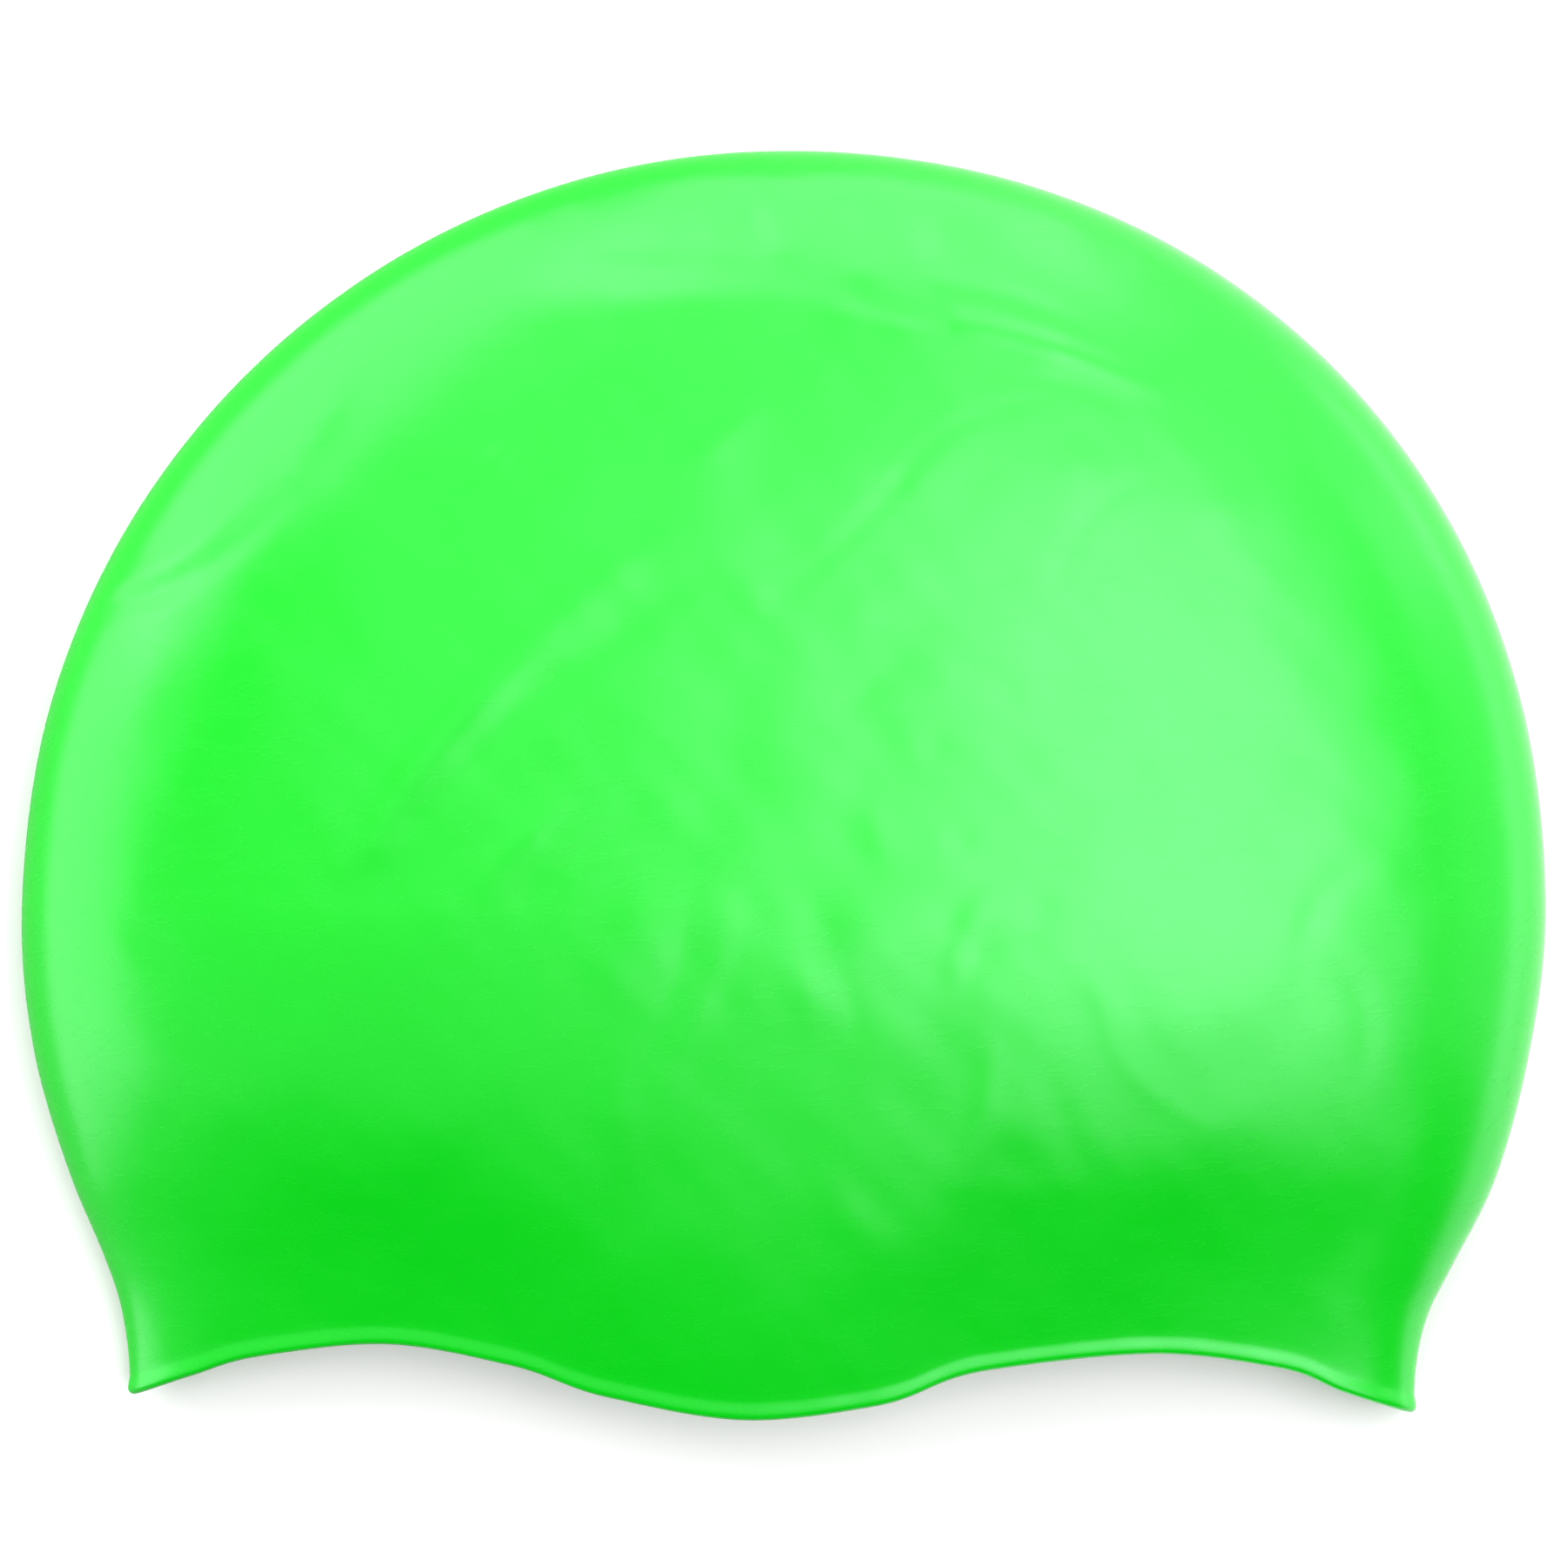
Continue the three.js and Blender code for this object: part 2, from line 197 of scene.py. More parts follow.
# Lights of the studio. turn is the side that the light stands on, in degrees from +X towards +Y, rise
# its height above the floor in degrees, far its distance and size its width and height, in metres, and
# glow its brightness.
LIGHT_ROWS = [
    {"name": "key_softbox", "turn": 0.0, "rise": 75.0, "far": 1.6, "size": (1.2, 0.85), "glow": 3.3},
    {"name": "key_strip", "turn": 0.0, "rise": 66.0, "far": 1.65, "size": (2.5, 0.95), "glow": 2.4},
    {"name": "overhead_softbox", "turn": -90.0, "rise": 73.0, "far": 1.7, "size": (3.0, 1.5), "glow": 0.6},
    {"name": "back_ceiling", "turn": 104.0, "rise": 66.0, "far": 1.5, "size": (1.2, 0.95), "glow": 1.45},
    {"name": "left_wall", "turn": 184.0, "rise": 22.0, "far": 1.4, "size": (1.5, 1.05), "glow": 3.3},
    {"name": "left_front_wall", "turn": 224.0, "rise": 24.0, "far": 1.4, "size": (0.6, 1.05), "glow": 0.25},
    {"name": "corner_wall", "turn": 130.0, "rise": 25.0, "far": 1.4, "size": (1.3, 1.2), "glow": 3.7},
    {"name": "back_wall", "turn": 84.0, "rise": 25.0, "far": 1.4, "size": (0.85, 1.2), "glow": 3.8},
    {"name": "right_back_wall", "turn": 48.0, "rise": 21.0, "far": 1.4, "size": (1.2, 1.0), "glow": 2.0},
    {"name": "right_wall", "turn": 3.0, "rise": 21.0, "far": 1.4, "size": (1.4, 1.0), "glow": 1.25},
    {"name": "right_card", "turn": 2.0, "rise": 7.0, "far": 0.6, "size": (1.1, 0.13), "glow": 2.1},
]


class SwimCapShape(bpy.types.PropertyGroup):
    """Sizes of the cap's moulding"""

    width: FloatProperty(
        name="Width", description="Crest to crest across the widest part",
        default=CAD_WIDTH, min=0.1, subtype="DISTANCE", unit="LENGTH")
    crown_rise: FloatProperty(
        name="Crown Rise", description="Widest line to crown top",
        default=114.2 * MM, min=0.05, subtype="DISTANCE", unit="LENGTH")
    side_drop: FloatProperty(
        name="Side Drop", description="Widest line to the middle height of the rim corners",
        default=75.7 * MM, min=0.03, subtype="DISTANCE", unit="LENGTH")
    rim_slant: FloatProperty(
        name="Rim Slant", description="Left rim corner above the right one",
        default=2.8 * MM, subtype="DISTANCE", unit="LENGTH")
    scoop_rise: FloatProperty(
        name="Scoop Rise", description="How far the rim rises over each ear",
        default=9.5 * MM, subtype="DISTANCE", unit="LENGTH")
    scoop_reach: FloatProperty(
        name="Scoop Reach", description="How far above the rim that wave has died out",
        default=62 * MM, min=0.01, subtype="DISTANCE", unit="LENGTH")
    puff_height: FloatProperty(
        name="Puff Height", description="Top of the upper panel above the ground",
        default=38 * MM, min=0.01, subtype="DISTANCE", unit="LENGTH")
    mouth_gap: FloatProperty(
        name="Mouth Gap", description="Top of the rim above the ground, at its middle",
        default=18 * MM, min=0.005, subtype="DISTANCE", unit="LENGTH")
    crest_lift: FloatProperty(
        name="Crest Lift", description="Crest above the ground round the crown",
        default=11 * MM, min=0.002, subtype="DISTANCE", unit="LENGTH")
    corner_lift: FloatProperty(
        name="Corner Lift", description="Crest above the ground at the rim corners",
        default=5 * MM, min=0.002, subtype="DISTANCE", unit="LENGTH")
    ground_press: FloatProperty(
        name="Ground Press", description="How far the lower panel would sag below the ground",
        default=5 * MM, min=0.0, subtype="DISTANCE", unit="LENGTH")
    ground_clearance: FloatProperty(
        name="Ground Clearance", description="Any part of the lower panel nearer to the ground lies on it",
        default=0.4 * MM, min=0.0, subtype="DISTANCE", unit="LENGTH")
    wall: FloatProperty(
        name="Wall", description="Thickness of the silicone wall",
        default=1 * MM, min=0.0003, subtype="DISTANCE", unit="LENGTH")
    lip_thickness: FloatProperty(
        name="Lip Thickness", description="Thickness of the moulded lip along the rim",
        default=1.8 * MM, min=0.0005, subtype="DISTANCE", unit="LENGTH")
    lip_depth: FloatProperty(
        name="Lip Depth", description="How far the lip reaches up the wall",
        default=3.2 * MM, min=0.001, subtype="DISTANCE", unit="LENGTH")
    fold_strength: FloatProperty(
        name="Fold Strength", description="Scales the folds and bumps of the upper panel",
        default=1.0, min=0.0, soft_max=2.0, subtype="FACTOR")
    ripple: FloatProperty(
        name="Ripple", description="Height of the soft uneven ripple of the upper panel",
        default=0.022 * MM, min=0.0, subtype="DISTANCE", unit="LENGTH")
    upper_points: IntProperty(
        name="Upper Points", description="Mesh points across the creased upper panel",
        default=300, min=24)
    lower_points: IntProperty(
        name="Lower Points", description="Mesh points across the smooth lower panel",
        default=56, min=24)
    body_rings: IntProperty(
        name="Body Rings", description="Mesh rings between the lip and the crown top",
        default=208, min=24)


class SwimCapSilicone(bpy.types.PropertyGroup):
    """Colour and finish of the silicone"""

    colour: FloatVectorProperty(
        name="Colour", description="Colour of the silicone",
        default=(0.0002, 0.435, 0.005), min=0.0, max=1.0, size=3, subtype="COLOR")
    sheen_colour: FloatVectorProperty(
        name="Sheen Colour", description="Tint of the reflections on the silicone",
        default=(0.76, 0.92, 1.0), min=0.0, max=1.0, size=3, subtype="COLOR")
    roughness: FloatProperty(
        name="Roughness", description="Roughness of the satin outer face",
        default=0.27, min=0.0, max=1.0, subtype="FACTOR")
    inner_roughness: FloatProperty(
        name="Inner Roughness", description="Roughness of the duller inner face",
        default=0.5, min=0.0, max=1.0, subtype="FACTOR")


class SwimCapStudio(bpy.types.PropertyGroup):
    """Floor, camera and light"""

    floor_colour: FloatVectorProperty(
        name="Floor Colour", description="Colour of the pale floor",
        default=(0.72, 0.72, 0.72), min=0.0, max=1.0, size=3, subtype="COLOR")
    # Painted reflection: the floor's colour as the cap mirrors it is scaled down on the left (painted shade)
    # and up on the right (painted light).
    floor_painted_reflection: FloatVectorProperty(
        name="Floor Painted Reflection", description="How bright the cap mirrors the floor on its left and its right",
        default=(0.35, 1.3), min=0.0, max=2.0, size=2)
    light: FloatProperty(
        name="Light", description="Scales every light of the studio",
        default=1.0, min=0.0, soft_max=3.0, subtype="FACTOR")
    lens: FloatProperty(
        name="Lens", description="Focal length of the camera",
        default=120.0, min=20.0, subtype="DISTANCE_CAMERA")
    fill: FloatProperty(
        name="Frame Fill", description="Share of the picture's width that the cap takes up",
        default=0.97, min=0.1, max=1.0, subtype="FACTOR")


def smooth_step(value):
    value = np.clip(value, 0.0, 1.0)
    return value * value * (3.0 - 2.0 * value)


def curve_samples(points, per_span):
    """Points of a smooth curve through the given ones, a centripetal Catmull-Rom spline."""
    points = np.asarray(points, float)
    padded = np.vstack([2 * points[0] - points[1], points, 2 * points[-1] - points[-2]])
    share = np.linspace(0.0, 1.0, per_span, endpoint=False)[:, None]
    samples = []
    for before, start, end, after in zip(padded, padded[1:], padded[2:], padded[3:]):
        span_before = math.sqrt(np.linalg.norm(start - before))
        span = math.sqrt(np.linalg.norm(end - start))
        span_after = math.sqrt(np.linalg.norm(after - end))
        leave = (start - before) / span_before - (end - before) / (span_before + span) + (end - start) / span
        arrive = (end - start) / span - (after - start) / (span + span_after) + (after - end) / span_after
        leave, arrive = leave * span, arrive * span
        cube = 2 * start - 2 * end + leave + arrive
        square = -3 * start + 3 * end - 2 * leave - arrive
        samples.append(start + leave * share + square * share**2 + cube * share**3)
    samples.append(points[-1:])
    return np.vstack(samples)


class CapForm:
    """The middle of the cap's wall as a grid of points: rings from the rim up, columns round the cap."""

    CROWN_STATIONS = 6
    LEFT_CROWN_FULLNESS = 1.98
    RIGHT_CROWN_FULLNESS = 2.09
    DOME_FULLNESS = 2.2
    PANEL_FULLNESS = 2.5
    MOUTH_FULLNESS = 2.3
    MOUTH_EASE = 1.6
    PANEL_SPREAD = 0.3
    LIP_RINGS = 7
    SAMPLES_PER_SPAN = 160
    INNER_STEP = 5
    STROKE_POINTS = 73
    WAVES = 24
    SHORTEST_WAVE = 6 * MM
    LONGEST_WAVE = 30 * MM
    RIPPLE_SEED = 11

    def __init__(self, shape):
        self.shape = shape
        self.half_wall = shape.wall / 2
        self.half_height = (shape.crown_rise + shape.side_drop + shape.rim_slant / 2) / 2
        self.widest_y = self.half_height - shape.crown_rise
        self.crown_y = shape.crown_rise - self.half_wall
        left = self.crest_side("left", -1, self.LEFT_CROWN_FULLNESS)
        right = self.crest_side("right", 1, self.RIGHT_CROWN_FULLNESS)
        top = [(0.0, self.widest_y + self.crown_y)]
        self.crest = curve_samples(left + top + right[::-1], self.SAMPLES_PER_SPAN)
        steps = np.linalg.norm(np.diff(self.crest, axis=0), axis=1)
        self.crest_run = np.concatenate([[0.0], np.cumsum(steps)])
        self.crest_length = self.crest_run[len(self.crest) // 2]
        self.rim = curve_samples([(row["along"], row["rise"]) for row in RIM_ROWS], self.SAMPLES_PER_SPAN)

    def crest_side(self, side, direction, fullness):
        """One side of the outline, from the rim corner up to just short of the crown top."""
        reach = self.shape.width / 2 - self.half_wall
        points = []
        for row in reversed(SIDE_ROWS):
            points.append((direction * reach * row[side], self.widest_y - self.shape.side_drop * row["down"]))
        for station in range(1, self.CROWN_STATIONS):
            rise = math.sin(station / self.CROWN_STATIONS * math.pi / 2)
            x = direction * reach * (1 - rise**fullness) ** (1 / fullness)
            points.append((x, self.widest_y + self.crown_y * rise))
        return points

    def ring_distances(self):
        """Distances from the rim, along the crest, of every ring."""
        radius = self.shape.lip_thickness / 2
        turns = np.linspace(0.0, math.pi / 2, self.LIP_RINGS)
        edge = radius * (1 - np.cos(turns))
        lip = np.linspace(radius, self.shape.lip_depth, self.LIP_RINGS)[1:]
        body = np.linspace(self.shape.lip_depth, self.crest_length, self.shape.body_rings + 1)[1:-1]
        return np.concatenate([edge, lip, body])

    def inner_rings(self, count):
        """Rings that the inner skin keeps: all of the lip's, then every fifth one."""
        lip = 2 * self.LIP_RINGS
        return np.concatenate([np.arange(1, lip), np.arange(lip, count, self.INNER_STEP)])

    def half_thickness(self, from_rim):
        """Half of the wall's thickness: round edge, lip, then plain wall."""
        radius = self.shape.lip_thickness / 2
        edge = np.sqrt(np.maximum(radius**2 - (radius - np.minimum(from_rim, radius)) ** 2, 0.0))
        fade = smooth_step((from_rim - radius) / (self.shape.lip_depth - radius))
        return np.where(from_rim < radius, edge, radius + (self.half_wall - radius) * fade)

    def crest_at(self, run):
        """Left and right points of the crest at distances from the rim along its left side."""
        place = np.interp(run, self.crest_run, np.arange(len(self.crest)))
        order = np.arange(len(self.crest))

        def point(places):
            return np.stack([np.interp(places, order, self.crest[:, axis]) for axis in (0, 1)], axis=-1)

        return point(place), point(len(self.crest) - 1 - place)

    def relief(self, x, y):
        """Height that folds, bumps and ripple add to the upper panel."""
        half_width = self.shape.width / 2
        scale = np.array([half_width, self.half_height])
        points = np.stack([x, y], axis=-1)
        height = np.zeros_like(x)
        share = np.linspace(0.0, 1.0, self.STROKE_POINTS)
        for row in FOLD_ROWS:
            start, bend, end = (np.array(row[key]) * scale for key in ("start", "bend", "end"))
            line = np.outer((1 - share) ** 2, start) + np.outer(2 * share * (1 - share), bend)
            line += np.outer(share**2, end)
            gaps = np.linalg.norm(points[..., None, :] - line, axis=-1)
            nearest = gaps.argmin(axis=-1)
            crest = np.interp(share[nearest], (0.0, 0.5, 1.0), row["height"])
            height += crest * MM * np.exp(-((gaps.min(axis=-1) / (row["width"] * MM)) ** 2))
        for row in BUMP_ROWS:
            gap = np.linalg.norm(points - np.array(row["place"]) * scale, axis=-1)
            height += row["height"] * MM * np.exp(-((gap / (row["reach"] * MM)) ** 2))
        return height * self.shape.fold_strength + self.ripple(x, y)

    def ripple(self, x, y):
        """Soft uneven ripple: waves in many directions, the longer the higher."""
        rng = np.random.default_rng(self.RIPPLE_SEED)
        total = np.zeros_like(x)
        for length in np.linspace(self.SHORTEST_WAVE, self.LONGEST_WAVE, self.WAVES):
            turn, start = rng.uniform(0.0, 2 * math.pi, 2)
            phase = 2 * math.pi * (x * math.cos(turn) + y * math.sin(turn)) / length + start
            total += length / self.LONGEST_WAVE * np.sin(phase)
        return total * self.shape.ripple

    def grid(self):
        """Middle points of the wall (rings, columns, 3) and half the wall's thickness at each ring."""
        shape = self.shape
        run = self.ring_distances()
        left, right = self.crest_at(run)
        ring_y = (left[:, 1] + right[:, 1]) / 2
        closing = np.maximum(0.0, (self.widest_y - ring_y) / shape.side_drop) ** self.MOUTH_EASE
        crown = np.clip((ring_y - self.widest_y) / self.crown_y, 0.0, 1.0)
        dome = (1 - crown**self.DOME_FULLNESS) ** (1 / self.DOME_FULLNESS)
        dome_top = shape.crest_lift + (shape.puff_height - self.half_wall - shape.crest_lift) * dome
        lift = shape.crest_lift + (shape.corner_lift - shape.crest_lift) * closing
        top = dome_top + (shape.mouth_gap - self.half_wall - dome_top) * closing
        fullness = self.PANEL_FULLNESS + (self.MOUTH_FULLNESS - self.PANEL_FULLNESS) * closing
        fade = 1 - smooth_step(run / shape.scoop_reach)

        upper_share = np.arange(shape.upper_points) / shape.upper_points
        lower_share = 1 + np.arange(shape.lower_points) / shape.lower_points
        share = np.concatenate([upper_share, lower_share])
        angle = math.pi * share + self.PANEL_SPREAD * np.sin(2 * math.pi * share) / 2
        power = 2 / fullness[:, None]
        cosine = np.cos(angle)[None, :]
        across = np.sign(cosine) * np.abs(cosine) ** power
        height = np.abs(np.sin(angle))[None, :] ** power
        along = (1 + across) / 2

        x = left[:, :1] + (right[:, :1] - left[:, :1]) * along
        y = left[:, 1:] + (right[:, 1:] - left[:, 1:]) * along
        y += shape.scoop_rise * fade[:, None] * np.interp(along, self.rim[:, 0], self.rim[:, 1])
        y -= shape.rim_slant / 2 * fade[:, None] * across
        upper = lift[:, None] + (top - lift)[:, None] * height + self.relief(x, y) * smooth_step(height)
        press = (shape.ground_press * dome)[:, None]
        lower = lift[:, None] - (lift[:, None] + press) * height
        half = self.half_thickness(run)
        z = np.where(share[None, :] < 1, upper, lower)
        z = np.where(z - half[:, None] < shape.ground_clearance, half[:, None], z)
        return np.stack([x, y, z], axis=-1), half


def grid_normals(points, crown_top):
    """Outward directions of the wall, from each point's neighbours. The last ring closes at crown_top."""
    closing = points[-1:].copy()
    closing[..., :2] = crown_top[:2]
    above = np.concatenate([points[1:], closing])
    below = np.concatenate([points[:1], points[:-1]])
    around = np.roll(points, -1, axis=1) - np.roll(points, 1, axis=1)
    normals = np.cross(above - below, around)
    return normals / np.linalg.norm(normals, axis=-1, keepdims=True)


def skin_faces(rings, columns, base, tip, flipped):
    """Quads and a closing fan from the shared rim edge, ring 0, to a skin's own crown top."""
    order = np.arange(columns)
    index = np.vstack([order, base + columns * np.arange(1, rings)[:, None] + order])
    following = np.roll(index, -1, axis=1)
    quads = np.stack([index[:-1], index[1:], following[1:], following[:-1]], axis=-1).reshape(-1, 4)
    fan = np.stack([index[-1], np.full(columns, tip), following[-1]], axis=-1)
    faces = quads.tolist() + fan.tolist()
    return [face[::-1] for face in faces] if flipped else faces


def shell_mesh(shape):
    """The cap as one closed mesh: outer skin, rounded rim edge and inner skin."""
    form = CapForm(shape)
    middle, half = form.grid()
    crown_top = np.array([0.0, form.widest_y + form.crown_y, shape.wall])
    normals = grid_normals(middle, crown_top)
    reach = half[:, None, None]
    outer = middle + normals * reach
    inner = middle - normals * reach
    kept = form.inner_rings(len(middle))
    outer[middle[..., 2] == half[:, None], 2] = 0.0
    rings, columns = middle.shape[:2]
    half_wall = np.array([0.0, form.half_wall, 0.0])
    vertices = [middle[:1], outer[1:], crown_top + half_wall, inner[kept], crown_top - half_wall]
    vertices = np.vstack([part.reshape(-1, 3) for part in vertices])
    outer_tip = rings * columns
    faces = skin_faces(rings, columns, 0, outer_tip, False)
    outer_count = len(faces)
    faces += skin_faces(len(kept) + 1, columns, outer_tip + 1 - columns, len(vertices) - 1, True)
    mesh = bpy.data.meshes.new(SHELL_PIECE)
    mesh.from_pydata(vertices.tolist(), [], faces)
    mesh.polygons.foreach_set("use_smooth", [True] * len(faces))
    mesh.polygons.foreach_set("material_index", [0] * outer_count + [1] * (len(faces) - outer_count))
    mesh.validate()
    mesh.update()
    return mesh


def new_node(tree, kind, x, y, **values):
    """A node of a tree, with its inputs or properties set by name."""
    node = tree.nodes.new(kind)
    node.location = (x, y)
    for name, value in values.items():
        if hasattr(node, name):
            setattr(node, name, value)
        else:
            node.inputs[name.replace("_", " ")].default_value = value
    return node


def mixed_colour(tree, x, y, colour, shade):
    """The output of a node that multiplies a plain colour by a shade socket."""
    mix = new_node(tree, "ShaderNodeMix", x, y, data_type="RGBA", blend_type="MULTIPLY")
    mix.inputs["Factor"].default_value = 1.0
    mix.inputs["A"].default_value = (*colour, 1.0)
    tree.links.new(shade, mix.inputs["B"])
    return mix.outputs["Result"]


# Inputs of the silicone skin: sizes in millimetres, Gloss as the middle roughness, and depths as the
# whole range of tone and roughness.
SKIN_INPUTS = (
    ("Cloud Size", 22.0),
    ("Cloud Depth", 0.06),
    ("Streak Size", 2.2),
    ("Streak Depth", 0.05),
    ("Grain Size", 0.7),
    ("Grain Share", 0.35),
    ("Gloss", 0.3),
)
STREAK_STRETCH = 3.0


def silicone_skin_group():
    """Shader group for moulded silicone: cloudy tone, uneven gloss, and height of grain and streaks."""
    group = bpy.data.node_groups.new("Silicone Skin", "ShaderNodeTree")
    sockets = group.interface
    for name, value in SKIN_INPUTS:
        sockets.new_socket(name, in_out="INPUT", socket_type="NodeSocketFloat").default_value = value
    for name in ("Tone", "Roughness", "Height"):
        sockets.new_socket(name, in_out="OUTPUT", socket_type="NodeSocketFloat")
    inputs = new_node(group, "NodeGroupInput", -900, 0)
    outputs = new_node(group, "NodeGroupOutput", 300, 0)
    place = new_node(group, "ShaderNodeTexCoord", -900, 300)
    link = group.links.new

    def pattern(size, detail, row, stretch=1.0):
        """Noise of a size, drawn out along X."""
        per_metre = new_node(group, "ShaderNodeMath", -650, row, operation="DIVIDE")
        per_metre.inputs[0].default_value = 1 / MM
        link(inputs.outputs[size], per_metre.inputs[1])
        squeeze = new_node(group, "ShaderNodeVectorMath", -650, row + 90, operation="MULTIPLY")
        squeeze.inputs[1].default_value = (1 / stretch, 1.0, 1.0)
        link(place.outputs["Object"], squeeze.inputs[0])
        noise = new_node(group, "ShaderNodeTexNoise", -420, row, Detail=detail)
        link(squeeze.outputs[0], noise.inputs["Vector"])
        link(per_metre.outputs[0], noise.inputs["Scale"])
        return noise.outputs["Fac"]

    def swing(source, depth, row):
        """A node that adds depth times the pattern's swing about its middle to its last input."""
        centred = new_node(group, "ShaderNodeMath", -180, row, operation="SUBTRACT")
        centred.inputs[1].default_value = 0.5
        link(source, centred.inputs[0])
        spread = new_node(group, "ShaderNodeMath", 60, row, operation="MULTIPLY_ADD")
        link(centred.outputs[0], spread.inputs[0])
        link(inputs.outputs[depth], spread.inputs[1])
        return spread

    cloud = pattern("Cloud Size", 3.0, 300)
    streak = pattern("Streak Size", 2.0, 60, STREAK_STRETCH)
    grain = pattern("Grain Size", 2.0, -180)

    tone = swing(cloud, "Cloud Depth", 300)
    tone.inputs[2].default_value = 1.0
    link(tone.outputs[0], outputs.inputs["Tone"])

    gloss = swing(streak, "Streak Depth", 60)
    link(inputs.outputs["Gloss"], gloss.inputs[2])
    link(gloss.outputs[0], outputs.inputs["Roughness"])

    height = new_node(group, "ShaderNodeMath", 60, -180, operation="MULTIPLY_ADD")
    link(grain, height.inputs[0])
    link(inputs.outputs["Grain Share"], height.inputs[1])
    link(streak, height.inputs[2])
    link(height.outputs[0], outputs.inputs["Height"])
    return group


def silicone_material(name, settings, gloss, group):
    """Moulded silicone with its own gloss, on the shared silicone skin."""
    material = bpy.data.materials.new(name)
    material.use_nodes = True
    tree = material.node_tree
    link = tree.links.new
    shader = tree.nodes["Principled BSDF"]
    shader.inputs["IOR"].default_value = 1.43
    shader.inputs["Specular IOR Level"].default_value = 0.8
    shader.inputs["Specular Tint"].default_value = (*settings.sheen_colour, 1.0)
    skin = new_node(tree, "ShaderNodeGroup", -700, 0)
    skin.node_tree = group
    skin.inputs["Gloss"].default_value = gloss
    link(mixed_colour(tree, -300, 200, settings.colour, skin.outputs["Tone"]), shader.inputs["Base Color"])
    link(skin.outputs["Roughness"], shader.inputs["Roughness"])
    bump = new_node(tree, "ShaderNodeBump", -300, -200)
    bump.inputs["Strength"].default_value = 0.02
    bump.inputs["Distance"].default_value = 0.06 * MM
    link(skin.outputs["Height"], bump.inputs["Height"])
    link(bump.outputs["Normal"], shader.inputs["Normal"])
    return material


def floor_material(colour, painted_reflection):
    """Pale floor with painted shade on its left and painted light on its right, in glossy rays only, so the
    cap mirrors it darker on its left and brighter on its right.
    """
    material = bpy.data.materials.new("Pale Floor")
    material.use_nodes = True
    tree = material.node_tree
    link = tree.links.new
    shader = tree.nodes["Principled BSDF"]
    place = new_node(tree, "ShaderNodeTexCoord", -1100, -100)
    along = new_node(tree, "ShaderNodeSeparateXYZ", -900, -100)
    link(place.outputs["Object"], along.inputs[0])
    # Ramp across X from the painted shade on the left to the painted light on the right.
    share = new_node(tree, "ShaderNodeMapRange", -700, -100, interpolation_type="SMOOTHSTEP")
    share.inputs["From Min"].default_value = -CAD_WIDTH / 4
    share.inputs["From Max"].default_value = CAD_WIDTH / 2
    share.inputs["To Min"].default_value = painted_reflection[0]
    share.inputs["To Max"].default_value = painted_reflection[1]
    link(along.outputs["X"], share.inputs["Value"])
    path = new_node(tree, "ShaderNodeLightPath", -700, 250)
    # Only glossy rays see the painted shade and light; the camera and diffuse rays see the plain floor
    # colour.
    seen = new_node(tree, "ShaderNodeMix", -480, 0, data_type="FLOAT")
    seen.inputs["A"].default_value = 1.0
    link(path.outputs["Is Glossy Ray"], seen.inputs["Factor"])
    link(share.outputs["Result"], seen.inputs["B"])
    link(mixed_colour(tree, -260, 0, colour, seen.outputs["Result"]), shader.inputs["Base Color"])
    shader.inputs["Roughness"].default_value = 0.7
    shader.inputs["Specular IOR Level"].default_value = 0.2
    return material


def add_object(name, data):
    piece = bpy.data.objects.new(name, data)
    bpy.context.scene.collection.objects.link(piece)
    return piece


class SWIMCAP_OT_add_shell(bpy.types.Operator):
    """Add the silicone cap in place of its plain CAD solid"""

    bl_idname = "swimcap.add_shell"
    bl_label = "Add Cap Shell"

    def execute(self, context):
        settings = context.scene.swimcap_silicone
        group = silicone_skin_group()
        mesh = shell_mesh(context.scene.swimcap_shape)
        mesh.materials.append(silicone_material("Silicone Outside", settings, settings.roughness, group))
        mesh.materials.append(silicone_material("Silicone Inside", settings, settings.inner_roughness, group))
        piece = add_object(SHELL_PIECE, mesh)
        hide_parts(SHELL_NODE)
        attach(piece, "root")
        return {"FINISHED"}


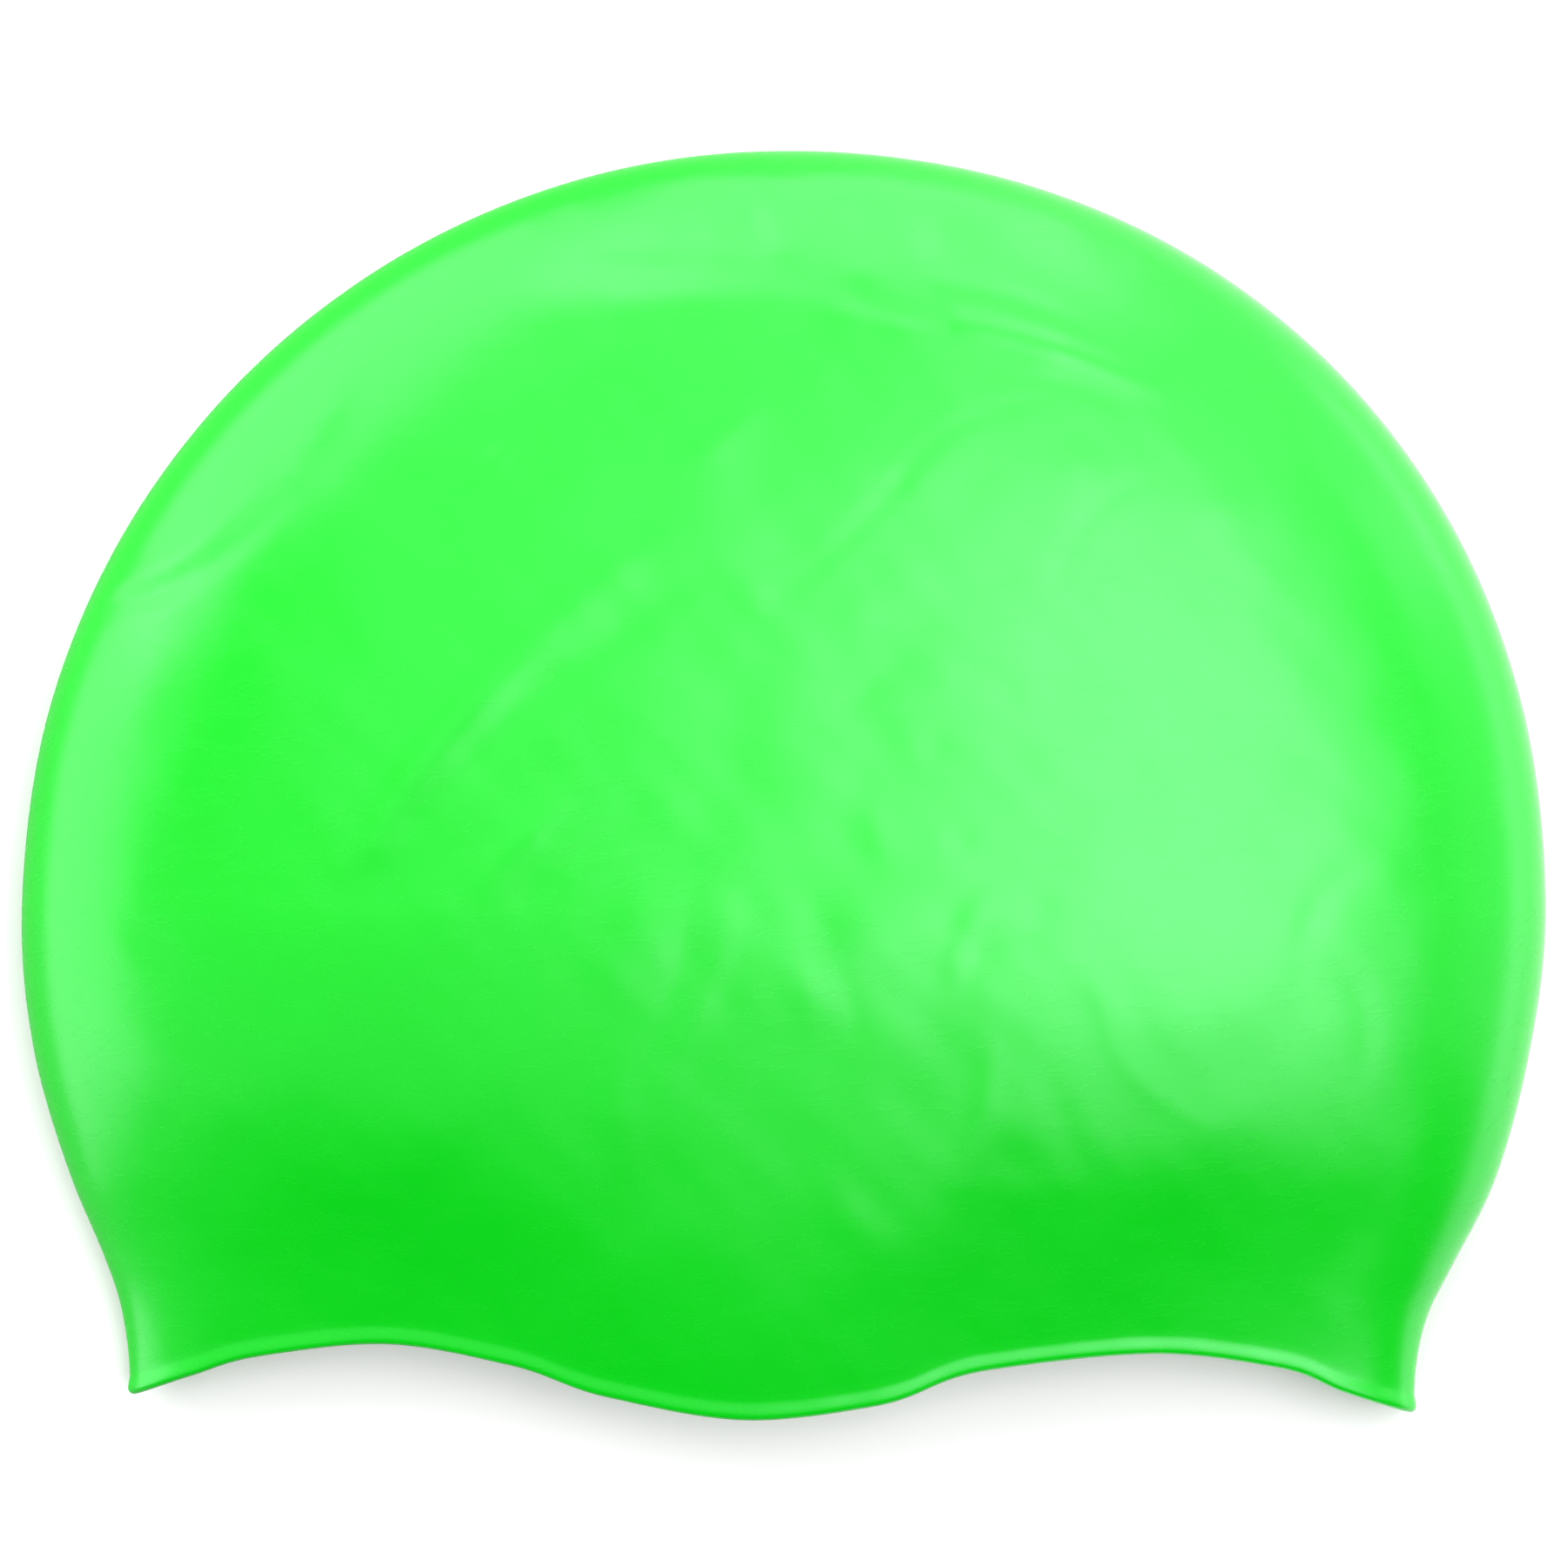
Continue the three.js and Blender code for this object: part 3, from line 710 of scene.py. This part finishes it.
class SWIMCAP_OT_add_stage(bpy.types.Operator):
    """Add the pale floor, the soft lights and the camera"""

    bl_idname = "swimcap.add_stage"
    bl_label = "Add Stage"

    FLOOR_HALF = 3.0
    WORLD_FILL = 0.02

    def execute(self, context):
        settings = context.scene.swimcap_studio
        self.add_floor(settings)
        for row in LIGHT_ROWS:
            self.add_light(row, settings.light)
        self.add_world(context.scene)
        self.add_camera(context.scene, settings)
        return {"FINISHED"}

    def add_floor(self, settings):
        half = self.FLOOR_HALF
        mesh = bpy.data.meshes.new("floor")
        corners = [(-half, -half, 0), (half, -half, 0), (half, half, 0), (-half, half, 0)]
        mesh.from_pydata(corners, [], [(0, 1, 2, 3)])
        mesh.materials.append(floor_material(settings.floor_colour, settings.floor_painted_reflection))
        add_object("floor", mesh)

    def add_light(self, row, scale):
        light = bpy.data.lights.new(row["name"], "AREA")
        light.shape = "RECTANGLE"
        light.size, light.size_y = row["size"]
        light.energy = row["glow"] * scale * math.pi * light.size * light.size_y
        turn, rise = math.radians(row["turn"]), math.radians(row["rise"])
        away = Vector((math.cos(turn) * math.cos(rise), math.sin(turn) * math.cos(rise), math.sin(rise)))
        lamp = add_object(row["name"], light)
        lamp.location = away * row["far"]
        lamp.rotation_euler = away.to_track_quat("Z", "Y").to_euler()
        lamp.visible_camera = False

    def add_world(self, scene):
        world = bpy.data.worlds.new("Studio")
        scene.world = world
        world.use_nodes = True
        tree = world.node_tree
        background = tree.nodes["Background"]
        path = new_node(tree, "ShaderNodeLightPath", -500, 200)
        strength = new_node(tree, "ShaderNodeMix", -250, 0, data_type="FLOAT")
        strength.inputs["A"].default_value = self.WORLD_FILL
        strength.inputs["B"].default_value = 1.0
        tree.links.new(path.outputs["Is Camera Ray"], strength.inputs["Factor"])
        tree.links.new(strength.outputs["Result"], background.inputs["Strength"])
        background.inputs["Color"].default_value = (1.0, 1.0, 1.0, 1.0)

    def add_camera(self, scene, settings):
        camera = bpy.data.cameras.new("camera")
        camera.lens = settings.lens
        crest = scene.swimcap_shape.crest_lift
        seen = scene.swimcap_shape.width / settings.fill
        away = seen / 2 / (camera.sensor_width / 2 / camera.lens)
        viewer = add_object("camera", camera)
        viewer.location = (0.0, 0.0, crest + away)
        scene.camera = viewer
        scene.view_settings.view_transform = "Standard"


class SWIMCAP_PT_panel(bpy.types.Panel):
    """Lists the cap's sizes, its silicone and the studio"""

    bl_idname = "SWIMCAP_PT_panel"
    bl_label = "Swim Cap"
    bl_space_type = "VIEW_3D"
    bl_region_type = "UI"
    bl_category = "Swim Cap"

    def draw(self, context):
        layout = self.layout
        scene = context.scene
        groups = (
            ("Moulding", scene.swimcap_shape, SWIMCAP_OT_add_shell),
            ("Silicone", scene.swimcap_silicone, None),
            ("Studio", scene.swimcap_studio, SWIMCAP_OT_add_stage),
        )
        for title, settings, operator in groups:
            box = layout.box()
            box.label(text=title)
            for name in settings.__annotations__:
                box.prop(settings, name)
            if operator:
                box.operator(operator.bl_idname)


CLASSES = (
    SwimCapShape,
    SwimCapSilicone,
    SwimCapStudio,
    SWIMCAP_OT_add_shell,
    SWIMCAP_OT_add_stage,
    SWIMCAP_PT_panel,
)


def register():
    for kind in CLASSES:
        bpy.utils.register_class(kind)
    bpy.types.Scene.swimcap_shape = PointerProperty(type=SwimCapShape)
    bpy.types.Scene.swimcap_silicone = PointerProperty(type=SwimCapSilicone)
    bpy.types.Scene.swimcap_studio = PointerProperty(type=SwimCapStudio)


def unregister():
    del bpy.types.Scene.swimcap_studio
    del bpy.types.Scene.swimcap_silicone
    del bpy.types.Scene.swimcap_shape
    for kind in reversed(CLASSES):
        bpy.utils.unregister_class(kind)


def main():
    register()
    bpy.ops.swimcap.add_shell()
    bpy.ops.swimcap.add_stage()


if __name__ == "__main__":
    main()
